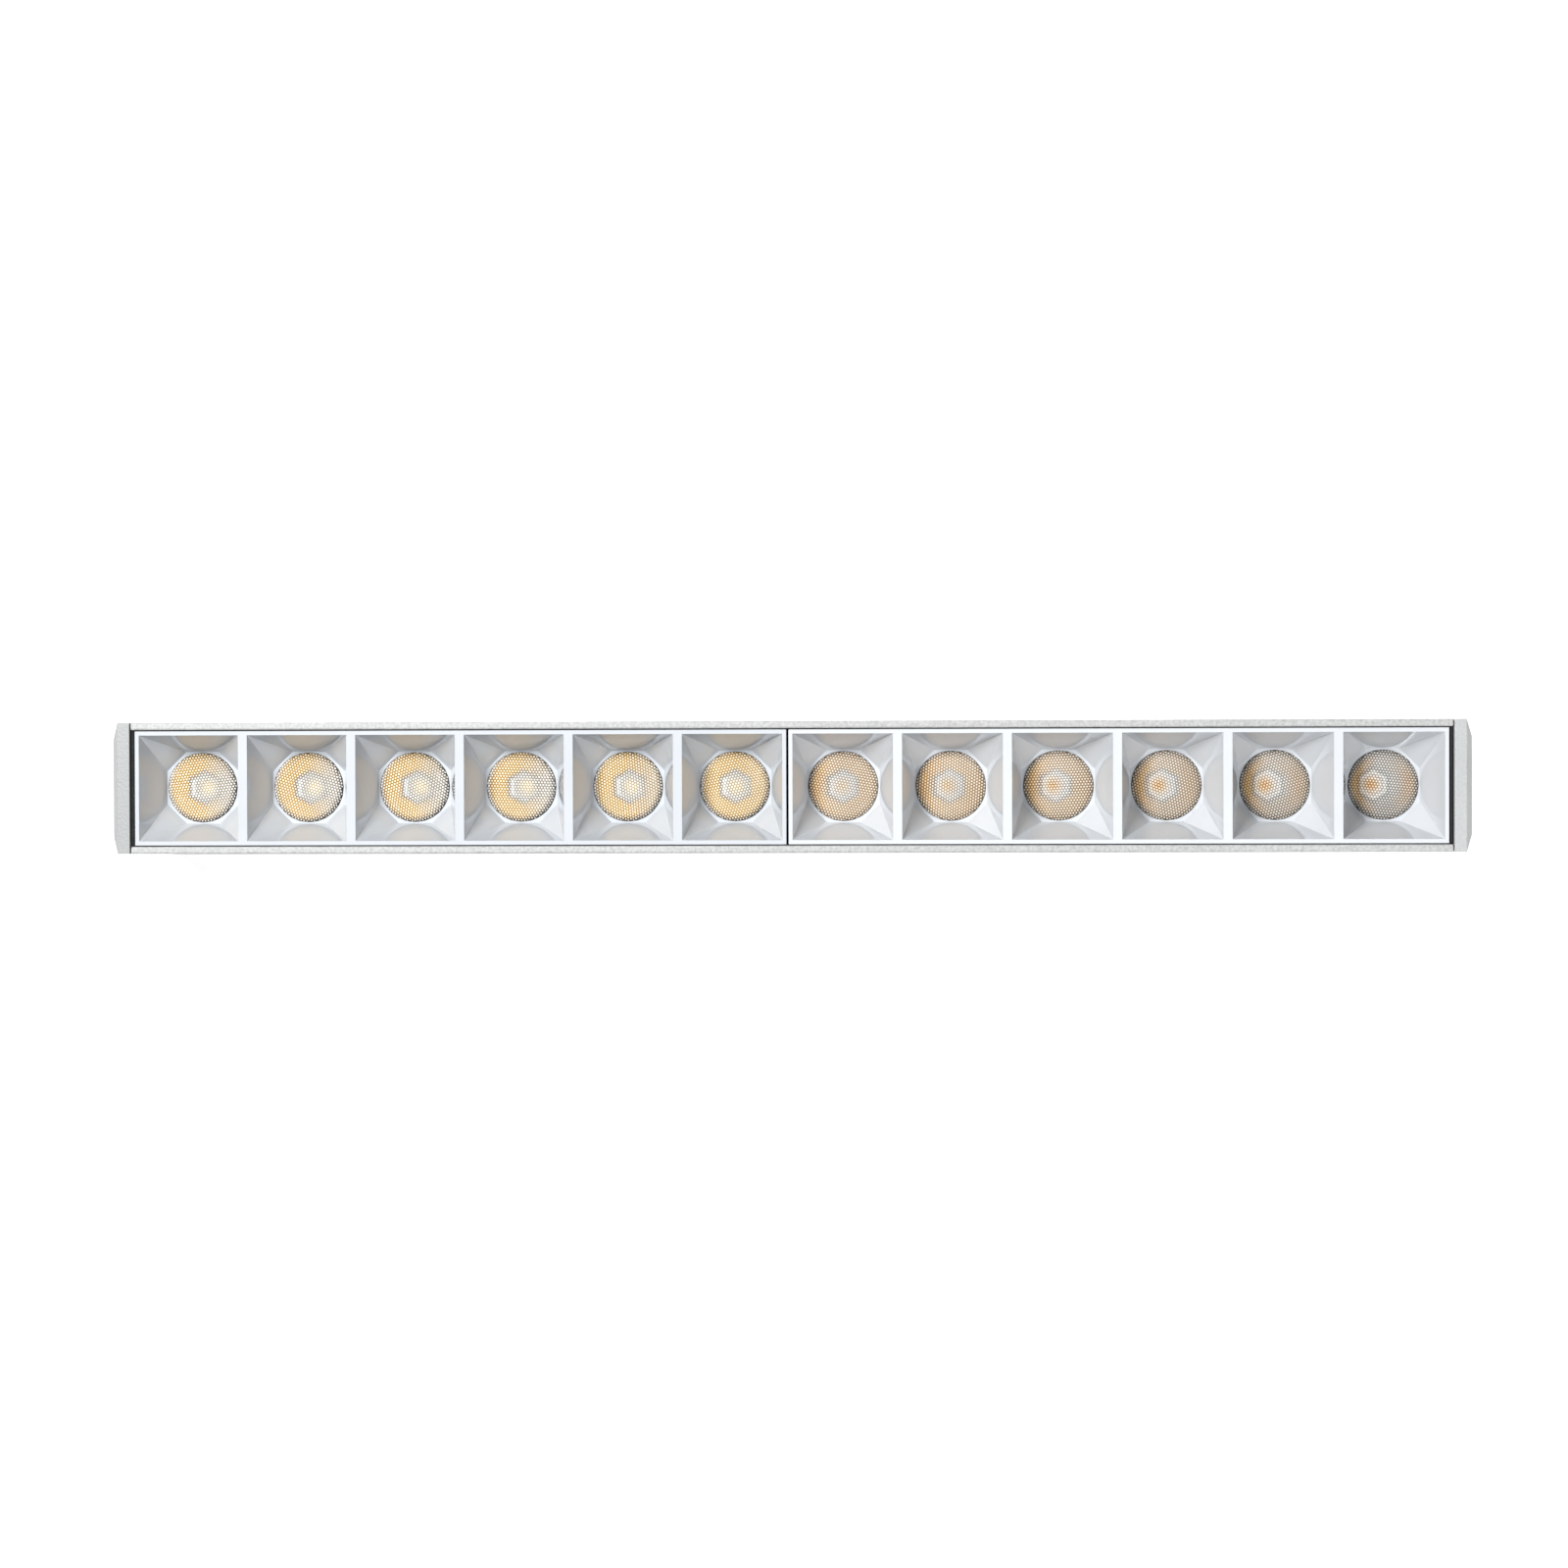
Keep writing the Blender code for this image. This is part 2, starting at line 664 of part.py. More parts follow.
def build_optics():
    """A lens and an LED package for each cell."""
    lens, led = lens_mesh(), led_mesh()
    for number, x in every_cell():
        add(f"lens_{number:02d}", lens, ACRYLIC, at=(x, 0, LENS_PLANE))
        add(f"led_{number:02d}", led, PHOSPHOR, at=(x, 0, BOARD_TOP + GAP))


def build_boards():
    """Two aluminium-core boards on the web, drilled for their screws and for the leads."""
    span = BOARD_OUTER_END - BOARD_INNER_END
    height = (BOARD_TOP + BOARD_BOTTOM) / 2
    for side, label in ((-1, "left"), (1, "right")):
        middle = side * (BOARD_OUTER_END + BOARD_INNER_END) / 2
        mesh = box_mesh("led board", (span, BOARD_WIDTH, BOARD_THICKNESS))
        board = add(f"led_board_{label}", mesh, SOLDER_MASK, at=(middle, 0, height))
        holes = []
        for x in board_screw_places():
            if x * side > 0:
                drill = rod_mesh("board hole", BOARD_HOLE_RADIUS, 2 * BOARD_THICKNESS)
                holes.append(add("board hole", drill, at=(x, 0, height)))
        if side > 0:
            drill = rod_mesh("board wire hole", WIRE_HOLE_RADIUS, 2 * BOARD_THICKNESS)
            holes.append(add("board wire hole", drill, at=(WIRE_HOLE_X, 0, height)))
        boolean(board, cutter_group(f"board holes {label}", holes), "DIFFERENCE")


def build_cover():
    """Sheet cover that slides into slots at the housing's back, with a hole for the grommet."""
    length = HOUSING_LENGTH - 2 * GAP
    height = (COVER_SLOT[0] + COVER_SLOT[1]) / 2
    mesh = box_mesh("back cover", (length, COVER_WIDTH, COVER_THICKNESS))
    cover = add("back_cover", mesh, COVER_COAT, at=(0, 0, height))
    hole_radius = GROMMET_NECK_RADIUS + GAP
    drill = rod_mesh("cover hole", hole_radius, 3 * COVER_THICKNESS, ROUND_STEPS)
    boolean(cover, add("cover hole", drill, at=(GROMMET_X, 0, height)), "DIFFERENCE")
    neck = COVER_THICKNESS / 2 + GAP
    profile = [
        (GROMMET_BORE_RADIUS, neck + GROMMET_FLANGE),
        (GROMMET_FLANGE_RADIUS, neck + GROMMET_FLANGE),
        (GROMMET_FLANGE_RADIUS, neck),
        (GROMMET_NECK_RADIUS, neck),
        (GROMMET_NECK_RADIUS, -neck),
        (GROMMET_FLANGE_RADIUS, -neck),
        (GROMMET_FLANGE_RADIUS - GAP, -neck - GROMMET_FLANGE),
        (GROMMET_BORE_RADIUS, -neck - GROMMET_FLANGE),
        (GROMMET_BORE_RADIUS, neck + GROMMET_FLANGE),
    ]
    add("cable_grommet", turned_mesh("cable grommet", profile), RUBBER, (GROMMET_X, 0, height))


def clip_section():
    """Half of a clip's section: base, ear, and a hook bent into the housing's groove."""
    ear_outer = CLIP_EAR_INNER + CLIP_THICKNESS
    return [
        (ear_outer - CLIP_THICKNESS / 2, 0.0),
        (ear_outer, CLIP_THICKNESS / 2),
        (ear_outer, CLIP_EAR_TOP),
        (CLIP_EAR_INNER, CLIP_EAR_TOP),
        (CLIP_EAR_INNER, CLIP_HOOK[1]),
        (CLIP_HOOK_TIP, CLIP_HOOK[1]),
        (CLIP_HOOK_TIP, CLIP_HOOK[0]),
        (CLIP_EAR_INNER, CLIP_HOOK[0]),
        (CLIP_EAR_INNER, CLIP_THICKNESS),
    ]


def build_clips():
    """Two spring clips that hold the housing by its side grooves and slide along it."""
    for side, label in ((-1, "left"), (1, "right")):
        mesh = outline_mesh("mount clip", [mirrored(clip_section())], CLIP_LENGTH)
        clip = add(f"mount_clip_{label}", mesh, SPRING_STEEL, (side * CLIP_X, 0, 0), ALONG_X)
        slot = slot_outline(CLIP_SLOT_LENGTH, CLIP_SLOT_WIDTH)
        drill = outline_mesh("clip slot", [slot], 4 * CLIP_THICKNESS)
        boolean(clip, add("clip slot", drill, at=(side * CLIP_X, 0, 0)), "DIFFERENCE")


def join_foot(piece, start, end, top):
    """Join a foot on a piece between two X places, reaching from its top up to the web."""
    high = WEB_BOTTOM - GAP
    low = top - FOOT_OVERLAP
    size = (FOOT_LENGTH_SHARE * (end - start), 2 * FOOT_HALF_WIDTH, high - low)
    foot = add("foot", box_mesh("foot", size), at=((start + end) / 2, 0, (high + low) / 2))
    boolean(piece, foot, "UNION")


def build_driver():
    """Driver: a rounded case under the web, with a foot that carries its heat to the web."""
    start, end = DRIVER_X
    low, high = DRIVER_Z
    size = (end - start, 2 * DRIVER_HALF_WIDTH, high - low)
    at = ((start + end) / 2, 0, (low + high) / 2)
    driver = add("driver", box_mesh("driver", size), DRIVER_SHELL, at=at)
    bevel = driver.modifiers.new("Rounded edges", "BEVEL")
    bevel.width = DRIVER_ROUNDING
    bevel.segments = 2
    join_foot(driver, start, end, high)


def pole_places():
    """Y of the terminal block's three poles."""
    return [step * POLE_PITCH for step in (-1, 0, 1)]


def build_terminal_block():
    """Three-pole terminal block, its release buttons facing the back cover."""
    start, end = TERMINAL_X
    high = WEB_BOTTOM - PORT_BLOCK_HEIGHT - GAP
    middle = (start + end) / 2
    size = (end - start, 2 * TERMINAL_HALF_WIDTH, high - TERMINAL_BACK)
    at = (middle, 0, (high + TERMINAL_BACK) / 2)
    block = add("terminal_block", box_mesh("terminal block", size), TERMINAL_SHELL, at=at)
    join_foot(block, start, end, high)
    holes = []
    well_side = BUTTON_SIDE + 2 * GAP
    for y in pole_places():
        well = add("button well", box_mesh("button well", (well_side, well_side, 2 * BUTTON_WELL)))
        well.location = (middle, y, TERMINAL_BACK)
        holes.append(well)
        for face in TERMINAL_X:
            drill = rod_mesh("pole hole", POLE_HOLE_RADIUS, 2 * POLE_HOLE_DEPTH)
            place = (face, y, POLE_HOLE_Z)
            holes.append(add("pole hole", drill, at=place, turn=(0, math.pi / 2, 0)))
    boolean(block, cutter_group("terminal holes", holes), "DIFFERENCE")
    for number, y in enumerate(pole_places(), 1):
        mesh = box_mesh("terminal button", (BUTTON_SIDE, BUTTON_SIDE, BUTTON_LENGTH))
        rest = TERMINAL_BACK - BUTTON_PROUD + BUTTON_LENGTH / 2
        add(f"terminal_button_{number}", mesh, BUTTON_PLASTIC, at=(middle, y, rest))


def lead(name, route, radius, colour):
    """A lead along a smooth curve through its route's points."""
    guide = bpy.data.curves.new(name, "CURVE")
    guide.dimensions = "3D"
    guide.bevel_depth = radius
    guide.bevel_resolution = 2
    guide.use_fill_caps = True
    points = smooth_route([Vector(point) for point in route])
    spline = guide.splines.new("POLY")
    spline.points.add(len(points) - 1)
    for target, point in zip(spline.points, points):
        target.co = (*point, 1.0)
    guide.materials.append(LEAD_COLOURS[colour])
    made = bpy.data.objects.new(name, guide)
    parts.objects.link(made)


def smooth_route(knots, steps=3):
    """Points of a Catmull-Rom curve through the knots."""
    padded = [2 * knots[0] - knots[1]] + knots + [2 * knots[-1] - knots[-2]]
    points = []
    for a, b, c, d in zip(padded, padded[1:], padded[2:], padded[3:]):
        for step in range(steps):
            t = step / steps
            bend = (2 * a - 5 * b + 4 * c - d) * t * t + (3 * b - a - 3 * c + d) * t ** 3
            points.append(0.5 * (2 * b + (c - a) * t + bend))
    points.append(knots[-1])
    return points


def build_leads():
    """Mains leads from the terminal block, and thin leads up to the boards."""
    inside = TERMINAL_X[1] - 0.6 * POLE_HOLE_DEPTH
    near = TERMINAL_X[1] + 0.0040
    case = DRIVER_X[0] - GAP
    low, high = DRIVER_Z
    for name, y, colour in (("live", 1, "brown"), ("neutral", -1, "blue")):
        start = y * POLE_PITCH
        end = y * 0.0040
        route = [
            (inside, start, POLE_HOLE_Z),
            (near, start, POLE_HOLE_Z),
            (near + 0.0140, y * 0.0090, 0.0150),
            (case - 0.0140, y * 0.0060, 0.0110),
            (case - 0.0040, end, 0.0120),
            (case, end, 0.0120),
        ]
        lead(f"{name}_lead", route, LEAD_RADIUS, colour)
    earth = [
        (inside, 0.0, POLE_HOLE_Z),
        (near, 0.0, POLE_HOLE_Z),
        (near + 0.0080, 0.0, POLE_HOLE_Z + 0.0015),
        (near + 0.0120, 0.0, WEB_BOTTOM - 0.0035),
        (near + 0.0125, 0.0, WEB_BOTTOM - GAP),
    ]
    lead("earth_lead", earth, LEAD_RADIUS, "green")
    out = DRIVER_X[1] + GAP
    for name, y, colour in (("positive", 1, "red"), ("negative", -1, "black")):
        side = y * 0.0014
        pad = y * 0.0060
        route = [
            (out, y * 0.0040, 0.0130),
            (out + 0.0050, y * 0.0038, 0.0130),
            (WIRE_HOLE_X - 0.0020, side, WEB_BOTTOM - 0.0040),
            (WIRE_HOLE_X, side, WEB_TOP),
            (WIRE_HOLE_X, side, BOARD_TOP + 0.0006),
            (WIRE_HOLE_X, y * 0.0034, BOARD_TOP + 0.0026),
            (WIRE_HOLE_X, pad, BOARD_TOP + 0.0012),
        ]
        lead(f"led_lead_{name}", route, THIN_LEAD_RADIUS, colour)
        rise = BOARD_TOP + GAP + THIN_LEAD_RADIUS
        reach = BOARD_INNER_END + 0.0015
        link = [
            (-reach, pad, rise),
            (-0.5 * reach, pad, rise + 0.0012),
            (0.5 * reach, pad, rise + 0.0012),
            (reach, pad, rise),
        ]
        lead(f"board_link_{name}", link, THIN_LEAD_RADIUS, colour)


start_scene()
build_housing()
build_end_caps()
build_end_seals()
build_screws()
build_grilles()
build_optics()
build_boards()
build_cover()
build_clips()
build_driver()
build_terminal_block()
build_leads()
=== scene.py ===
"""Looks of the LED strip batten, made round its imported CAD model.

X runs along the batten, Y across it, and +Z is the way the light leaves. Sizes are in metres.
"""

import json
import math

import bmesh
import bpy
from mathutils import Matrix, Vector, geometry


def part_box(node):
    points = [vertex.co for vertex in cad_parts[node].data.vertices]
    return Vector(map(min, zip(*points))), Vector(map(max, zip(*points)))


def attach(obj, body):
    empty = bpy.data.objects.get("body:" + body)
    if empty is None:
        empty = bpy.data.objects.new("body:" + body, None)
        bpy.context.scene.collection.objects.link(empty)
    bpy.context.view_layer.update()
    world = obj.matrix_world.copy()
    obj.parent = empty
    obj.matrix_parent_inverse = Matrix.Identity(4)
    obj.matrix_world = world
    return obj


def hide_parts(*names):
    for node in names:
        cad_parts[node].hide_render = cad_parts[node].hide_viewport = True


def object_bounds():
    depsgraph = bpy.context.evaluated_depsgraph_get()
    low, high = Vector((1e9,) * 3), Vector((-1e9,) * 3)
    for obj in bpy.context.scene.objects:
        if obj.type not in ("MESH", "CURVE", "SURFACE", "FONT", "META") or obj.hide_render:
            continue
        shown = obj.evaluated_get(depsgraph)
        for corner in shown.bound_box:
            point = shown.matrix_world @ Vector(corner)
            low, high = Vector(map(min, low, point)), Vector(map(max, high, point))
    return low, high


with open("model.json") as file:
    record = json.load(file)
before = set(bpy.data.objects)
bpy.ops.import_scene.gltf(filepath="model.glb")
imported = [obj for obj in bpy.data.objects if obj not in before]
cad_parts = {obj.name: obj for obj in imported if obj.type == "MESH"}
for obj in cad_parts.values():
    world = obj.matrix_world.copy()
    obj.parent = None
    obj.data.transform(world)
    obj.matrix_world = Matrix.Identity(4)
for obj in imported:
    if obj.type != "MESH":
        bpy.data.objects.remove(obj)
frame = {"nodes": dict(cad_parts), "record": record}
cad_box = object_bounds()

SCENE = bpy.context.scene
NODES = frame["nodes"]
BODY = "batten"

# Camera and light
CAMERA_PLACE = (0.0230, 0.0090, 0.8199)
CAMERA_TURN = (-0.623, 1.792, -0.168)
CAMERA_LENS = 66.2
SENSOR_WIDTH = 36.0
KEY_PLACE = (-0.30, 0.24, 0.85)
KEY_DIAMETER = 0.26
KEY_POWER = 11.3
FILL_PLACE = (0.28, -0.17, 0.34)
FILL_DIAMETER = 0.14
FILL_POWER = 0.64
LAMP_COLOUR = (0.97, 0.985, 1.0)
WORLD_STRENGTH = 0.12
FLOOR_SIZE = 20.0
FLOOR_GLOW = 0.80
FLOOR_GAP = 0.0003
FLOOR_TONES = ((0.60, 0.60, 0.60), (0.64, 0.64, 0.64))

# Shape of the beaded lenses
LENS_COUNT = 12
LENS_RADIUS = 0.00935
LENS_CROWN = 0.0006
LENS_LAND = 0.0016
LENS_SEGMENTS = 120
LENS_TURN_STEP = 37.0
BEAD_PITCH = 0.00080
BEAD_RADIUS = 0.00120
BEAD_RINGS = 3
BEAD_CORNER = BEAD_PITCH / math.sqrt(3)
BEAD_CREASE = math.sqrt(BEAD_RADIUS**2 - BEAD_CORNER**2)
BEAD_ROW_PITCH = BEAD_PITCH * math.sqrt(3) / 2
RIM_CLEARANCE = 0.6
JOIN_TOLERANCE = 1e-9
FLANGE_THICKNESS = 0.0012
FLANGE_REACH = 0.0009
FLANK_STEP = 0.0004
FOOT_RADIUS = 0.0048
FOOT_LIFT = 0.0002
RECESS_RADIUS = 0.0038
RECESS_CROWN = 0.0012
RECESS_STEPS = 10
STEEPEST_RAY = 1.5
RAY_HALVINGS = 50
SHARP_ANGLE = 22.0
ACRYLIC_IOR = 1.49

# What shows through the beads, painted into the lens's colour: painted refraction of the phosphor,
# painted reflections, painted highlights and painted shade. Places and widths are shares of the
# lens radius, a band is (middle, width), a share says how strongly a tone covers the ones below it,
# and the colours are linear. An off-axis lens is one far to the right, painted to show little of
# its phosphor, as the viewing angle there hides it.
# The colour attribute that holds each lens's painted light
PAINTED_OPTICS = "painted_optics"
SMALLEST_RADIUS = 0.01
OFF_AXIS_START = 0.3
OFF_AXIS_RATE = 1.5
HEART_REACH = 0.44
HEART_LIMIT = 0.18
HEART_RADIUS = 0.24
HEART_SHARE_LEFT = 0.95
HEART_SHARE_RIGHT = 0.4
SPOT_RADIUS = 0.23
SPOT_SHARE_MIDDLE = 0.3
SPOT_SHARE_RATE = 1.6
SILVER_SHARE = 0.85
SILVER_RATE = 2.5
GLINT_BAND = (0.955, 0.03)
GLINT_SHARE = 0.9
RIGHT_BAND = (0.72, 0.22)
RIGHT_SHARE = 0.55
CRESCENT_BAND = (0.79, 0.14)
CRESCENT_SHARE = 0.95
DISC_SHIFT = 0.40
DISC_RADIUS = 0.36
DISC_FADE = 0.14
DISC_SHARE = 0.95
DISC_GREYING = 0.8
RING_SHIFT_OFF_AXIS = 0.4
RING_SHADE = (0.42, 0.06)
RING_SHADE_SHARE = 0.22
RING_SHADE_FACING = 0.18
RING_GLINT = (0.32, 0.05)
RING_GLINT_LEFT = 0.55
RING_GLINT_RIGHT = 0.15
RING_GLINT_OFF_AXIS = 0.35
RING_ECHO = (0.19, 0.03)
RING_ECHO_OFF_AXIS = 0.45
# Painted shade that the lens's rim casts inwards
RIM_SHADE_START = 0.82
RIM_SHADE_RIGHT = 0.5
RIM_SHADE_LEFT = 0.7
RIM_SHADE_TILT = (0.2, -0.3)
# Painted shade in the creases between beads, deeper where the rim's painted shade falls
CREASE_SHADE_START = 0.55
CREASE_SHADE_END = 0.95
CREASE_SHADE = 0.74
CREASE_SHADE_AT_RIM = 0.4
# Painted highlights: a white one on each bead, the reflection of the lamps, and the same white for
# the painted glints and rings
HIGHLIGHT_SHARE = 0.48
HIGHLIGHT_GAIN = 1.7
HIGHLIGHT_RIM_LOSS = 0.3
HIGHLIGHT_OFF_AXIS_LOSS = 0.4
HIGHLIGHT_WHITE = (1.0, 0.97, 0.91)
SILVER = (0.40, 0.39, 0.365)
GREY = (0.27, 0.265, 0.25)
BEIGE = (0.45, 0.30, 0.155)
AMBER = (0.63, 0.385, 0.105)
CRESCENT_TONE = (0.64, 0.33, 0.05)
SPOT_TONE = (0.44, 0.20, 0.01)
CREAM = (0.78, 0.62, 0.36)
SHADOW = (0.020, 0.018, 0.016)
FLANK_TONE = (0.70, 0.72, 0.74)

# Materials. A drift is the slow change of tone over a surface, in cycles per metre.
WHITE = (1.0, 1.0, 1.0)
RAMP_START = 0.30
RAMP_END = 0.70
COAT_RAMP_END = 0.62
COAT_DRIFT = 45.0
COAT_CLOUD = (0.95, 0.95, 0.955)
COAT_BUMP = 0.00007
COAT_SMOOTHER = 0.08
COAT_ROUGHER = 0.10
PLASTIC_DRIFT = 70.0
PLASTIC_VARIATION = 0.02
PLASTIC_PEEL = 0.0012
PLASTIC_SPREAD = (0.8, 1.3)
METAL_STREAKS = 60.0
METAL_DRIFT = 90.0
METAL_TONES = (0.86, 1.06)
METAL_SMUDGE = (0.9, 0.9, 0.9)
METAL_BUMP = 0.00001
METAL_SPREAD = (0.7, 1.4)
ALONG_X = (1.0, 60.0, 60.0)
ALL_WAYS = (1.0, 1.0, 1.0)
ACRYLIC_ROUGHNESS = (0.09, 0.15)
ACRYLIC_SPECULAR = 0.25
ACRYLIC_HAZE = 260.0
ACRYLIC_FILM = (0.93, 0.93, 0.94)
PHOSPHOR_GRAIN = 4000.0
PHOSPHOR_BUMP = 0.00001
PHOSPHOR_TONES = ((0.86, 0.50, 0.17), (0.98, 0.62, 0.25))
MASK_GRAIN = 400.0
MASK_BUMP = 0.00002
MASK_TONES = ((0.50, 0.52, 0.55), (0.66, 0.68, 0.70))
PAPER_GRAIN = 30.0
FAINT_PEEL = 0.00001
CLEAR_PEEL = 0.00003
FOAM_PEEL = 0.00008

# Rounding of the CAD nodes' edges, by the start of their names
EDGE_ROUNDING = {
    "housing": 0.00022,
    "end_cap": 0.00030,
    "grille": 0.00022,
    "mount_clip": 0.00015,
    "back_cover": 0.00020,
    "terminal": 0.00025,
    "led_board": 0.00020,
    "cap_screw": 0.00012,
}
EDGE_SEGMENTS = 2
ROUNDED_ANGLE = 24.0
WELD_DISTANCE = 0.000001


# Materials ------------------------------------------------------------------------------------


def shader_of(material):
    return material.node_tree.nodes["Principled BSDF"]


def new_material(name, roughness, metallic=0.0):
    """A material whose Principled shader has these plain values."""
    material = bpy.data.materials.new(name)
    material.use_nodes = True
    shader_of(material).inputs["Roughness"].default_value = roughness
    shader_of(material).inputs["Metallic"].default_value = metallic
    return material


def join(material, output, target):
    material.node_tree.links.new(output, target)


def noise(material, scale, detail=2.0, stretch=ALL_WAYS):
    """Noise over the object's own coordinates, from 0 to 1; scale is in cycles per metre."""
    nodes = material.node_tree.nodes
    place = nodes.new("ShaderNodeTexCoord")
    mapping = nodes.new("ShaderNodeMapping")
    mapping.inputs["Scale"].default_value = stretch
    texture = nodes.new("ShaderNodeTexNoise")
    texture.inputs["Scale"].default_value = scale
    texture.inputs["Detail"].default_value = detail
    join(material, place.outputs["Object"], mapping.inputs["Vector"])
    join(material, mapping.outputs["Vector"], texture.inputs["Vector"])
    return texture.outputs["Fac"]


def tones(material, factor, low, high, end=RAMP_END):
    """Turns a factor into a colour that runs from low to high."""
    node = material.node_tree.nodes.new("ShaderNodeValToRGB")
    stops = ((RAMP_START, low), (end, high))
    for element, (position, tone) in zip(node.color_ramp.elements, stops):
        element.position = position
        element.color = (*tone, 1.0)
    join(material, factor, node.inputs["Fac"])
    return node.outputs["Color"]


def multiply(material, first, second):
    """Multiplies two colours. The mix node's colour sockets have no names of their own."""
    node = material.node_tree.nodes.new("ShaderNodeMix")
    node.data_type = "RGBA"
    node.blend_type = "MULTIPLY"
    node.inputs["Factor"].default_value = 1.0
    join(material, first, node.inputs[6])
    join(material, second, node.inputs[7])
    return node.outputs[2]


def colour(material, output):
    join(material, output, shader_of(material).inputs["Base Color"])


def roughness_range(material, factor, low, high):
    """Runs roughness between two values with a factor."""
    node = material.node_tree.nodes.new("ShaderNodeMapRange")
    node.inputs["To Min"].default_value = low
    node.inputs["To Max"].default_value = high
    join(material, factor, node.inputs["Value"])
    join(material, node.outputs["Result"], shader_of(material).inputs["Roughness"])


def bump(material, height, distance):
    """Raises the surface by height times distance."""
    node = material.node_tree.nodes.new("ShaderNodeBump")
    node.inputs["Distance"].default_value = distance
    node.inputs["Strength"].default_value = 1.0
    join(material, height, node.inputs["Height"])
    join(material, node.outputs["Normal"], shader_of(material).inputs["Normal"])


def shade(base, factor):
    """A colour made lighter or darker."""
    return tuple(min(1.0, value * factor) for value in base)


def powder_coat(name, base, grain, contrast, roughness):
    """Sandy powder coat: a colour that flickers from grain to grain over a pebbled skin."""
    material = new_material(name, roughness)
    fine = noise(material, 1.0 / grain, detail=3.0)
    broad = noise(material, COAT_DRIFT)
    dark, light = shade(base, 1.0 - contrast), shade(base, 1.0 + contrast)
    grains = tones(material, fine, dark, light, COAT_RAMP_END)
    clouds = tones(material, broad, COAT_CLOUD, WHITE)
    colour(material, multiply(material, grains, clouds))
    roughness_range(material, fine, roughness - COAT_SMOOTHER, roughness + COAT_ROUGHER)
    bump(material, fine, COAT_BUMP)
    return material


def moulded_plastic(name, base, roughness, depth=FAINT_PEEL):
    """Moulded plastic with a faint orange-peel skin and a slight drift in tone."""
    material = new_material(name, roughness)
    broad = noise(material, PLASTIC_DRIFT, detail=3.0)
    skin = noise(material, 1.0 / PLASTIC_PEEL)
    dark, light = shade(base, 1.0 - PLASTIC_VARIATION), shade(base, 1.0 + PLASTIC_VARIATION)
    colour(material, tones(material, broad, dark, light))
    roughness_range(material, skin, *(roughness * factor for factor in PLASTIC_SPREAD))
    bump(material, skin, depth)
    return material


def brushed_metal(name, base, roughness, along=ALONG_X):
    """Rolled or brushed metal, whose streaks run along X unless told otherwise."""
    material = new_material(name, roughness, metallic=1.0)
    streaks = noise(material, METAL_STREAKS, detail=4.0, stretch=along)
    smudges = noise(material, METAL_DRIFT, detail=3.0)
    dark, light = (shade(base, factor) for factor in METAL_TONES)
    metal = tones(material, streaks, dark, light)
    colour(material, multiply(material, metal, tones(material, smudges, METAL_SMUDGE, WHITE)))
    roughness_range(material, streaks, *(roughness * factor for factor in METAL_SPREAD))
    bump(material, streaks, METAL_BUMP)
    return material


def acrylic_with_painted_optics():
    """Moulded acrylic whose base colour is painted light, point by point: what shows through each
    bead, as painted refraction, painted reflections, painted highlights and painted shade.
    """
    low, high = ACRYLIC_ROUGHNESS
    material = new_material("acrylic_with_painted_optics", (low + high) / 2)
    shader_of(material).inputs["IOR"].default_value = ACRYLIC_IOR
    shader_of(material).inputs["Specular IOR Level"].default_value = ACRYLIC_SPECULAR
    painted_optics = material.node_tree.nodes.new("ShaderNodeAttribute")
    painted_optics.attribute_name = PAINTED_OPTICS
    haze = noise(material, ACRYLIC_HAZE)
    film = tones(material, haze, ACRYLIC_FILM, WHITE)
    colour(material, multiply(material, painted_optics.outputs["Color"], film))
    roughness_range(material, haze, low, high)
    return material


def phosphor():
    """Silicone with yellow phosphor powder in it."""
    material = new_material("phosphor", 0.35)
    grain = noise(material, PHOSPHOR_GRAIN)
    colour(material, tones(material, grain, *PHOSPHOR_TONES))
    bump(material, grain, PHOSPHOR_BUMP)
    return material


def solder_mask():
    """White solder mask over copper, slightly uneven."""
    material = new_material("white_solder_mask", 0.40)
    grain = noise(material, MASK_GRAIN, detail=3.0)
    colour(material, tones(material, grain, *MASK_TONES))
    bump(material, grain, MASK_BUMP)
    return material


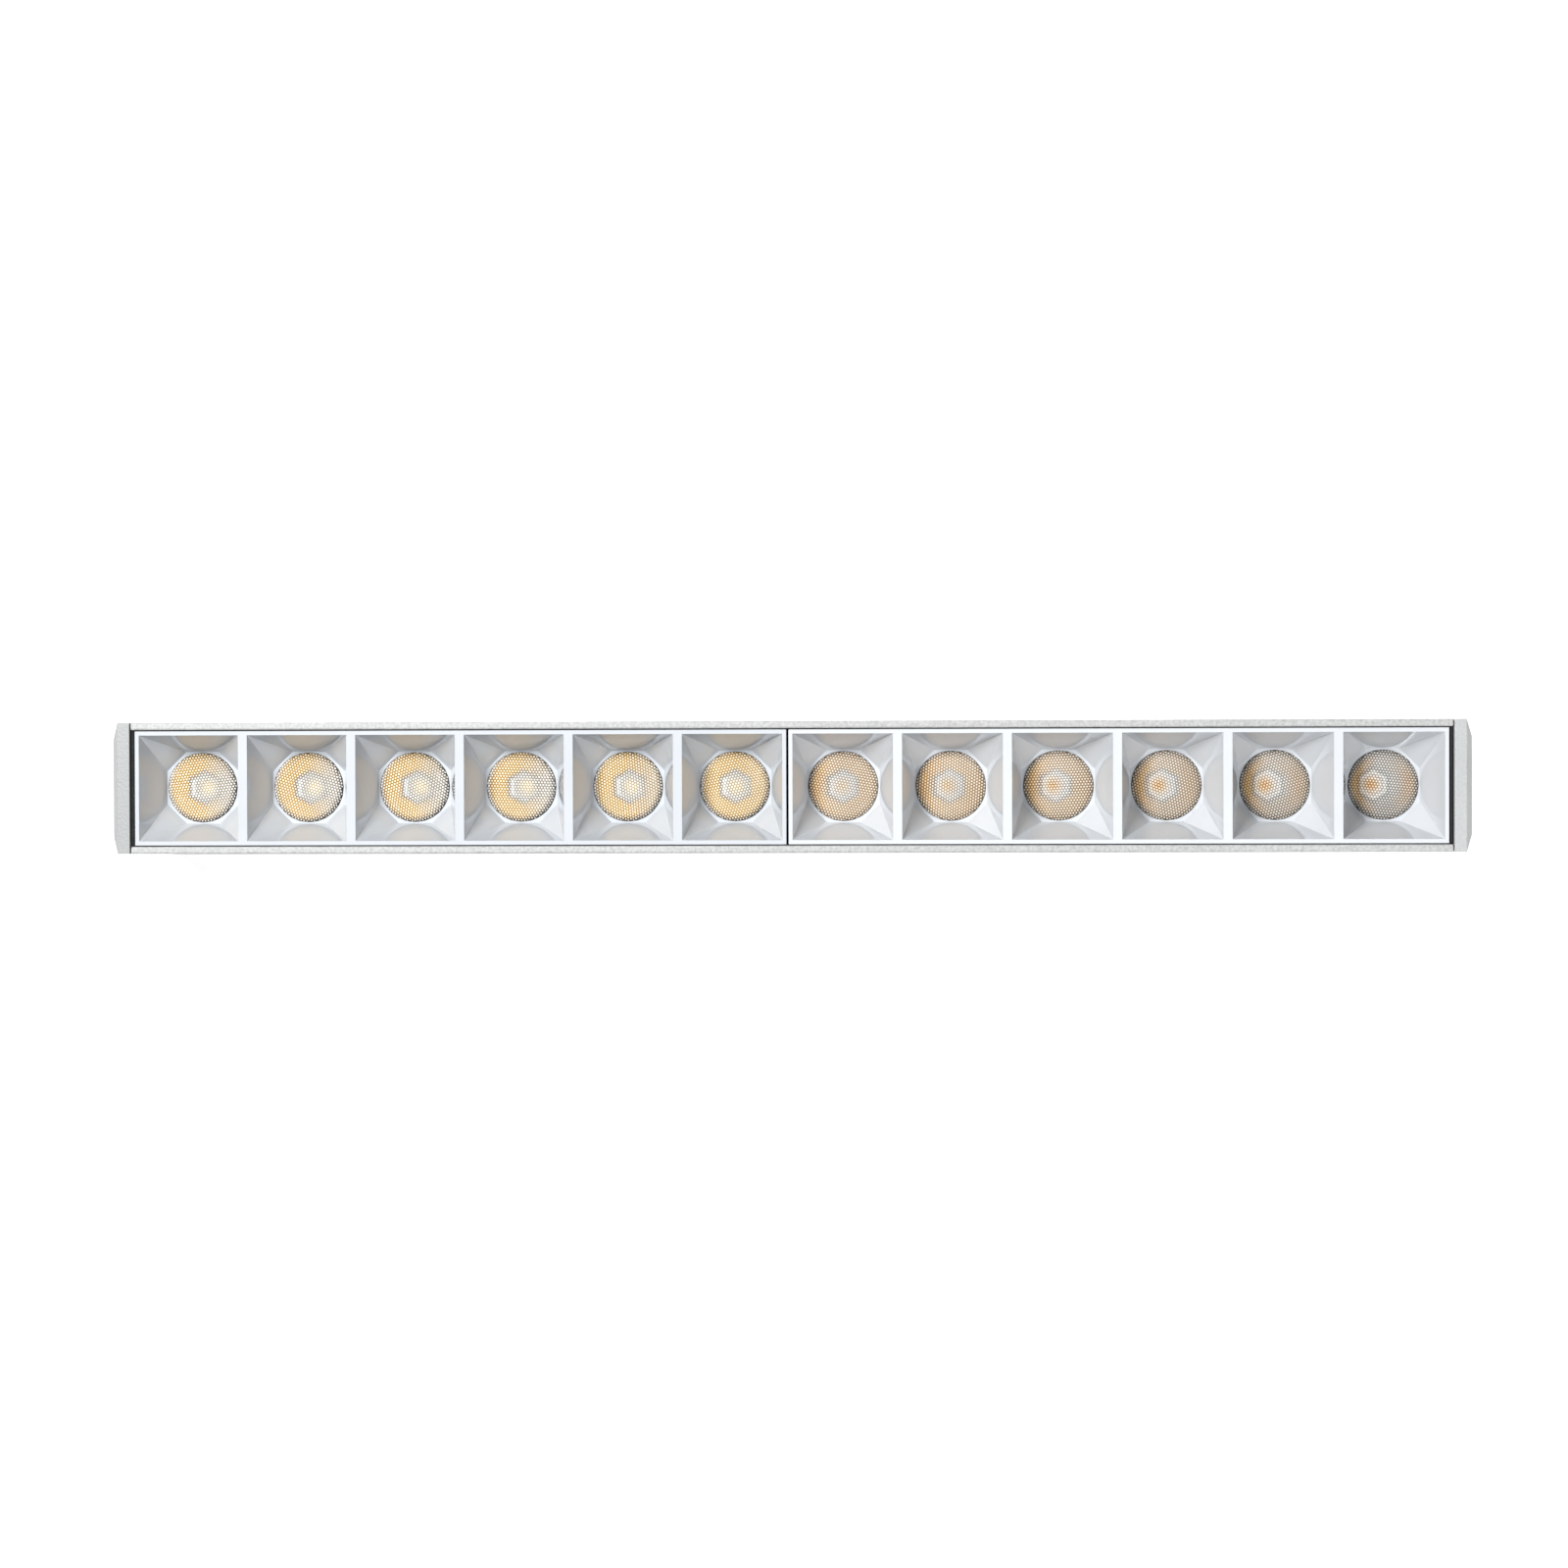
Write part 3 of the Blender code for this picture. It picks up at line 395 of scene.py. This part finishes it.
# Material slots, as the function that makes each one, then its name, colour and other values:
# grain, contrast and roughness for a coat, roughness and skin depth for a plastic, and
# roughness and streaks for a metal
MATERIALS = {
    "housing_coat": (powder_coat, "housing_powder_coat", (0.43, 0.43, 0.42), 0.00080, 0.17, 0.50),
    "cap_coat": (powder_coat, "cap_powder_coat", (0.33, 0.333, 0.328), 0.00060, 0.05, 0.45),
    "reflector": (moulded_plastic, "gloss_white_plastic", (0.57, 0.59, 0.615), 0.05),
    "lens_acrylic": (acrylic_with_painted_optics,),
    "phosphor": (phosphor,),
    "board": (solder_mask,),
    "screw_steel": (brushed_metal, "screw_steel", (0.62, 0.62, 0.63), 0.30, ALL_WAYS),
    "clip_steel": (brushed_metal, "spring_steel", (0.60, 0.60, 0.60), 0.32),
    "cover_coat": (powder_coat, "cover_powder_coat", (0.66, 0.66, 0.66), 0.00045, 0.05, 0.50),
    "driver_shell": (moulded_plastic, "driver_plastic", (0.75, 0.75, 0.74), 0.45, CLEAR_PEEL),
    "terminal_shell": (moulded_plastic, "terminal_nylon", (0.55, 0.56, 0.57), 0.38),
    "button_plastic": (moulded_plastic, "button_nylon", (0.80, 0.28, 0.06), 0.35),
    "seal_foam": (moulded_plastic, "black_foam", (0.012, 0.012, 0.012), 0.90, FOAM_PEEL),
    "grommet_rubber": (moulded_plastic, "grommet_rubber", (0.035, 0.035, 0.037), 0.62, CLEAR_PEEL),
    "lead_brown": (moulded_plastic, "brown_insulation", (0.13, 0.055, 0.025), 0.40),
    "lead_blue": (moulded_plastic, "blue_insulation", (0.03, 0.12, 0.45), 0.40),
    "lead_green": (moulded_plastic, "green_insulation", (0.10, 0.36, 0.07), 0.40),
    "lead_red": (moulded_plastic, "red_insulation", (0.50, 0.03, 0.02), 0.40),
    "lead_black": (moulded_plastic, "black_insulation", (0.03, 0.03, 0.03), 0.40),
}

# The two right-hand nodes, painted a shade lighter than their slot: painted light, for the brighter
# light at the right-hand end
PAINTED_LIGHTER_NODES = {
    "grille_right": (moulded_plastic, "gloss_white_plastic_paler", (0.635, 0.65, 0.67), 0.05),
    "end_cap_right":
        (powder_coat, "cap_powder_coat_paler", (0.46, 0.465, 0.46), 0.00060, 0.05, 0.45),
}


def soften_edges(node, width):
    """Rounds a CAD node's edges by a hair, as coats and moulds leave them."""
    weld = node.modifiers.new("weld", "WELD")
    weld.merge_threshold = WELD_DISTANCE
    bevel = node.modifiers.new("soft_edges", "BEVEL")
    bevel.width = width
    bevel.segments = EDGE_SEGMENTS
    bevel.limit_method = "ANGLE"
    bevel.angle_limit = math.radians(ROUNDED_ANGLE)
    node.modifiers.new("face_normals", "WEIGHTED_NORMAL").keep_sharp = True


def finish_cad_nodes():
    """Gives every CAD node its material and rounded edges, and returns the slots' materials."""
    made = {slot: make(*values) for slot, (make, *values) in MATERIALS.items()}
    for row in frame["record"]["subparts"]:
        NODES[row["node"]].material_slots[0].material = made[row["material_slot"]]
    # The right-hand grille and end cap get their lighter copies, which are painted light
    for name, (make, *values) in PAINTED_LIGHTER_NODES.items():
        NODES[name].material_slots[0].material = make(*values)
    for name, node in NODES.items():
        for start, width in EDGE_ROUNDING.items():
            if name.startswith(start):
                soften_edges(node, width)
    return made


# Lenses ---------------------------------------------------------------------------------------


def from_bead(x, y):
    """Distance from the middle of the nearest bead, as a share of the way to its corner."""
    nearest = BEAD_PITCH
    middle_column = round(x / BEAD_ROW_PITCH)
    for column in (middle_column - 1, middle_column, middle_column + 1):
        offset = (column % 2) * BEAD_PITCH / 2
        bead_y = round((y - offset) / BEAD_PITCH) * BEAD_PITCH + offset
        nearest = min(nearest, math.hypot(x - column * BEAD_ROW_PITCH, y - bead_y))
    return nearest / BEAD_CORNER


def face_points():
    """A triangular grid of points inside the lens's rim, fine enough to round each bead."""
    step = BEAD_CORNER / BEAD_RINGS
    row_pitch = step * math.sqrt(3) / 2
    rows = math.ceil(LENS_RADIUS / row_pitch)
    points = []
    for row in range(-rows, rows + 1):
        for column in range(-2 * rows, 2 * rows + 1):
            point = Vector(((column + (row % 2) / 2) * step, row * row_pitch))
            if point.length < LENS_RADIUS - RIM_CLEARANCE * step:
                points.append(point)
    return points


def front_face():
    """Vertices and faces of the beaded front, the indices of its outer ring, and bead shares."""
    points = face_points()
    inner = len(points)
    turns = [2 * math.pi * index / LENS_SEGMENTS for index in range(LENS_SEGMENTS)]
    points += [Vector((math.cos(turn), math.sin(turn))) * LENS_RADIUS for turn in turns]
    edges = [(inner + index, inner + (index + 1) % LENS_SEGMENTS) for index in range(LENS_SEGMENTS)]
    inside_only = 1
    flat, _, faces, sources, _, _ = geometry.delaunay_2d_cdt(
        points, edges, [], inside_only, JOIN_TOLERANCE)
    place = {source: index for index, found in enumerate(sources) for source in found}
    ring = [place[inner + index] for index in range(LENS_SEGMENTS)]
    rim = set(ring)
    vertices = []
    shares = []
    for index, point in enumerate(flat):
        share = 1.0 if index in rim else from_bead(point.x, point.y)
        rise = math.sqrt(BEAD_RADIUS**2 - (share * BEAD_CORNER) ** 2) - BEAD_CREASE
        crown = LENS_CROWN * (1.0 - (point.length / LENS_RADIUS) ** 2)
        vertices.append((point.x, point.y, crown + rise))
        shares.append(share)
    return vertices, [tuple(face) for face in faces], ring, shares


def ray_slope(radius, height):
    """The ray from the LED that meets the flank here: its angle before and in the acrylic."""
    low, high = 0.0, STEEPEST_RAY
    for _ in range(RAY_HALVINGS):
        angle = (low + high) / 2
        inside = math.asin(math.sin(angle) / ACRYLIC_IOR)
        reached = RECESS_RADIUS * math.tan(angle) + (radius - RECESS_RADIUS) * math.tan(inside)
        if reached < height:
            low = angle
        else:
            high = angle
    return angle, inside


def lens_profile(depth):
    """(radius, height) points down from the rim, round the flank and up into the recess, and
    the height of the recess's tip.

    The flank turns each ray from the LED straight up by total internal reflection, and the
    recess's convex roof gathers the rays that go straight up.
    """
    foot = -depth
    flange_top = -LENS_LAND
    flange_foot = flange_top - FLANGE_THICKNESS
    flank = [(FOOT_RADIUS, foot)]
    while flank[-1][0] < LENS_RADIUS - FLANK_STEP and flank[-1][1] < flange_foot:
        radius, height = flank[-1]
        angle, inside = ray_slope(radius, height - foot)
        rise = math.tan((inside + math.pi / 2) / 2) * FLANK_STEP
        flank.append((radius + FLANK_STEP, height + rise))
    roof = foot + RECESS_RADIUS * math.tan(angle)
    edge = LENS_RADIUS + FLANGE_REACH
    profile = [(LENS_RADIUS, flange_top), (edge, flange_top)]
    profile += [(edge, flange_foot), (LENS_RADIUS, flange_foot)]
    profile += [point for point in reversed(flank) if point[1] < flange_foot]
    profile.append((RECESS_RADIUS, foot))
    for index in range(RECESS_STEPS):
        share = 1.0 - index / RECESS_STEPS
        profile.append((RECESS_RADIUS * share, roof - RECESS_CROWN * (1.0 - share**2)))
    return profile, roof - RECESS_CROWN


def close_outward(mesh):
    """Makes all the faces of a closed mesh point outward."""
    shape = bmesh.new()
    shape.from_mesh(mesh)
    bmesh.ops.recalc_face_normals(shape, faces=shape.faces)
    shape.to_mesh(mesh)
    shape.free()


def lens_mesh(depth):
    """A beaded collimator lens as one closed mesh, its rim at the origin's height."""
    vertices, faces, ring, shares = front_face()
    profile, tip = lens_profile(depth)
    rings = [ring]
    for radius, height in profile:
        first = len(vertices)
        for index in range(LENS_SEGMENTS):
            turn = 2 * math.pi * index / LENS_SEGMENTS
            vertices.append((radius * math.cos(turn), radius * math.sin(turn), height))
        rings.append(range(first, first + LENS_SEGMENTS))
    for upper, lower in zip(rings, rings[1:]):
        for index in range(LENS_SEGMENTS):
            after = (index + 1) % LENS_SEGMENTS
            faces.append((upper[index], lower[index], lower[after], upper[after]))
    vertices.append((0.0, 0.0, tip))
    last = rings[-1]
    for index in range(LENS_SEGMENTS):
        faces.append((last[index], len(vertices) - 1, last[(index + 1) % LENS_SEGMENTS]))
    mesh = bpy.data.meshes.new("beaded_lens")
    mesh.from_pydata(vertices, [], faces)
    close_outward(mesh)
    mesh.shade_smooth()
    mesh.set_sharp_from_angle(angle=math.radians(SHARP_ANGLE))
    return mesh, shares


def limited(value):
    """The value, kept between 0 and 1."""
    return min(max(value, 0.0), 1.0)


def mixed(first, second, share):
    """The colour a share of the way from the first to the second."""
    share = limited(share)
    return tuple(a + (b - a) * share for a, b in zip(first, second))


def band(distance, middle, width):
    """1 at the middle of a band, falling smoothly to 0 beside it."""
    return math.exp(-(((distance - middle) / width) ** 2))


def hexagon_distance(x, y):
    """Distance from the middle in a hexagonal measure, whose circles are hexagons."""
    turns = (0.0, math.pi / 3, 2 * math.pi / 3)
    return max(abs(x * math.cos(turn) + y * math.sin(turn)) for turn in turns)


def off_axis_share(lean):
    """How little of its phosphor a lens is painted to show, from 0 to 1, standing in for the
    viewing angle.
    """
    return limited(OFF_AXIS_RATE * (lean - OFF_AXIS_START))


def painted_glimpse(u, v, lean):
    """Painted light: what a lens shows at a place given in lens radii, before its beads break it
    up.

    lean runs from -1 to 1 along the batten and stands in for the viewing angle. The lenses left of
    the middle are painted to show the whole phosphor round a bright heart. Further right they are
    painted to show less of it, round a darker spot. The tones are painted refraction of the
    phosphor, painted reflections, painted highlights and painted shade.
    """
    radius = math.hypot(u, v)
    side = u / max(radius, SMALLEST_RADIUS)
    left, right = limited(-side), limited(side)
    off_axis = off_axis_share(lean)
    heart_x = min(-lean * HEART_REACH, HEART_LIMIT)
    heart = math.hypot(u - heart_x, v)

    if lean < 0.0:
        # Painted refraction of the phosphor in amber, giving way to painted reflection in silver on
        # the right, with a painted highlight along the left of the rim
        seen = mixed(AMBER, SILVER, SILVER_SHARE * right * limited(-SILVER_RATE * lean))
        seen = mixed(seen, HIGHLIGHT_WHITE, GLINT_SHARE * left**3 * band(radius, *GLINT_BAND))
        shine, heart_share = RING_GLINT_LEFT, HEART_SHARE_LEFT
    else:
        # Painted refraction of the phosphor, less of it on off-axis lenses, with a painted crescent
        # and spot of it
        seen = mixed(BEIGE, GREY, off_axis)
        seen = mixed(seen, SPOT_TONE, RIGHT_SHARE * off_axis * right**2 * band(radius, *RIGHT_BAND))
        seen = mixed(seen, CRESCENT_TONE, CRESCENT_SHARE * left**2 * band(radius, *CRESCENT_BAND))
        shine, heart_share = RING_GLINT_RIGHT, HEART_SHARE_RIGHT

    # A painted reflection disc round the heart
    outside = (hexagon_distance(u - DISC_SHIFT * heart_x, v) - DISC_RADIUS) / DISC_FADE
    disc = mixed(SILVER, GREY, DISC_GREYING * off_axis)
    seen = mixed(seen, disc, DISC_SHARE * (1.0 - limited(outside)))

    # Painted shade and painted highlights in rings round the heart
    ring_x = heart_x * (DISC_SHIFT + RING_SHIFT_OFF_AXIS * off_axis)
    ring = hexagon_distance(u - ring_x, v)
    facing = limited((ring_x - u) / max(ring, SMALLEST_RADIUS))
    dark = RING_SHADE_SHARE + RING_SHADE_FACING * facing
    bright = RING_GLINT_OFF_AXIS * off_axis + shine * facing**3
    seen = mixed(seen, SHADOW, dark * band(ring, *RING_SHADE))
    seen = mixed(seen, HIGHLIGHT_WHITE, bright * band(ring, *RING_GLINT))
    seen = mixed(seen, HIGHLIGHT_WHITE, RING_ECHO_OFF_AXIS * off_axis * band(ring, *RING_ECHO))

    # The heart and the spot are painted refraction of the phosphor
    seen = mixed(seen, CREAM, heart_share * band(heart, 0.0, HEART_RADIUS))
    spot_share = limited(SPOT_SHARE_MIDDLE + SPOT_SHARE_RATE * lean)
    return mixed(seen, SPOT_TONE, spot_share * band(heart, 0.0, SPOT_RADIUS))


def edge_shadow(u, v, lean):
    """How much painted shade the lens's rim casts on a place, from 0 to about 1."""
    radius = math.hypot(u, v)
    away = RIM_SHADE_RIGHT
    if lean <= 0.0:
        tilt = RIM_SHADE_TILT[0] * u + RIM_SHADE_TILT[1] * v
        away = RIM_SHADE_LEFT + tilt / max(radius, SMALLEST_RADIUS)
    return away * limited((radius - RIM_SHADE_START) / (1.0 - RIM_SHADE_START))


def paint_lens(mesh, shares, turn, lean):
    """Paints a lens point by point: a painted highlight on each bead, painted shade in the crease
    round it, and painted shade from the rim.
    """
    painted_optics = mesh.attributes.new(PAINTED_OPTICS, "FLOAT_COLOR", "POINT")
    ahead = Matrix.Rotation(turn, 2)
    for index, vertex in enumerate(mesh.vertices):
        if index >= len(shares):
            painted_optics.data[index].color = (*FLANK_TONE, 1.0)
            continue
        u, v = ahead @ Vector((vertex.co.x, vertex.co.y)) / LENS_RADIUS
        # edge is the painted shade from the lens's rim
        edge = edge_shadow(u, v, lean)
        seen = mixed(painted_glimpse(u, v, lean), SHADOW, edge)
        # Painted shade in the crease round each bead
        crease_shade = limited((shares[index] - CREASE_SHADE_START) / (CREASE_SHADE_END - CREASE_SHADE_START))
        seen = mixed(seen, SHADOW, crease_shade * (CREASE_SHADE + CREASE_SHADE_AT_RIM * edge))
        # Painted highlight on each bead, weaker in the rim's painted shade and on off-axis lenses
        highlight_weight = (1.0 - HIGHLIGHT_RIM_LOSS * edge) * (1.0 - HIGHLIGHT_OFF_AXIS_LOSS * off_axis_share(lean))
        highlight = limited(HIGHLIGHT_GAIN * (1.0 - shares[index] / HIGHLIGHT_SHARE) * highlight_weight)
        painted_optics.data[index].color = (*mixed(seen, HIGHLIGHT_WHITE, highlight), 1.0)


def build_lenses(made):
    """Twelve beaded lenses, each turned its own way, as they were pressed in."""
    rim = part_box("lens_01")[1].z - LENS_CROWN
    board_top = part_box("led_board_left")[1].z
    blank, shares = lens_mesh(rim - board_top - FOOT_LIFT)
    half_length = cad_box[1].x
    for number in range(1, LENS_COUNT + 1):
        node = f"lens_{number:02d}"
        low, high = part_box(node)
        centre = (low + high) / 2
        turn = math.radians(LENS_TURN_STEP * number)
        mesh = blank.copy()
        paint_lens(mesh, shares, turn, centre.x / half_length)
        mesh.materials.append(made["lens_acrylic"])
        lens = bpy.data.objects.new(f"beaded_{node}", mesh)
        lens.location = (centre.x, centre.y, rim)
        lens.rotation_euler.z = turn
        SCENE.collection.objects.link(lens)
        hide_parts(node)
        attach(lens, BODY)


# Stage ----------------------------------------------------------------------------------------


def build_floor():
    """A pale floor with a faint glow of its own, just under the clips."""
    shape = bmesh.new()
    bmesh.ops.create_grid(shape, x_segments=1, y_segments=1, size=FLOOR_SIZE / 2)
    mesh = bpy.data.meshes.new("floor")
    shape.to_mesh(mesh)
    shape.free()
    floor = bpy.data.objects.new("floor", mesh)
    SCENE.collection.objects.link(floor)
    paper = new_material("pale_paper", 0.9)
    colour(paper, tones(paper, noise(paper, PAPER_GRAIN), *FLOOR_TONES))
    shader_of(paper).inputs["Emission Color"].default_value = (*WHITE, 1.0)
    shader_of(paper).inputs["Emission Strength"].default_value = FLOOR_GLOW
    mesh.materials.append(paper)
    floor.location.z = -FLOOR_GAP


def build_surround():
    """An even, dim white surround."""
    world = bpy.data.worlds.new("studio")
    world.use_nodes = True
    background = world.node_tree.nodes["Background"]
    background.inputs["Color"].default_value = (*WHITE, 1.0)
    background.inputs["Strength"].default_value = WORLD_STRENGTH
    SCENE.world = world


def add_lamp(name, place, diameter, power):
    """A round soft lamp that faces the middle of the floor."""
    lamp = bpy.data.lights.new(name, "AREA")
    lamp.shape = "DISK"
    lamp.size = diameter
    lamp.energy = power
    lamp.color = LAMP_COLOUR
    light = bpy.data.objects.new(name, lamp)
    light.location = place
    light.visible_camera = False
    light.rotation_euler = Vector(place).to_track_quat("Z", "Y").to_euler()
    SCENE.collection.objects.link(light)


def build_camera():
    """The photo's view, straight down on the light side."""
    camera = bpy.data.cameras.new("camera")
    camera.lens = CAMERA_LENS
    camera.sensor_width = SENSOR_WIDTH
    view = bpy.data.objects.new("camera", camera)
    view.location = CAMERA_PLACE
    view.rotation_euler = [math.radians(angle) for angle in CAMERA_TURN]
    SCENE.collection.objects.link(view)
    SCENE.camera = view


build_camera()
build_floor()
build_surround()
add_lamp("key", KEY_PLACE, KEY_DIAMETER, KEY_POWER)
add_lamp("fill", FILL_PLACE, FILL_DIAMETER, FILL_POWER)
build_lenses(finish_cad_nodes())
SCENE.view_settings.view_transform = "Standard"
SCENE.cycles.denoising_prefilter = "NONE"
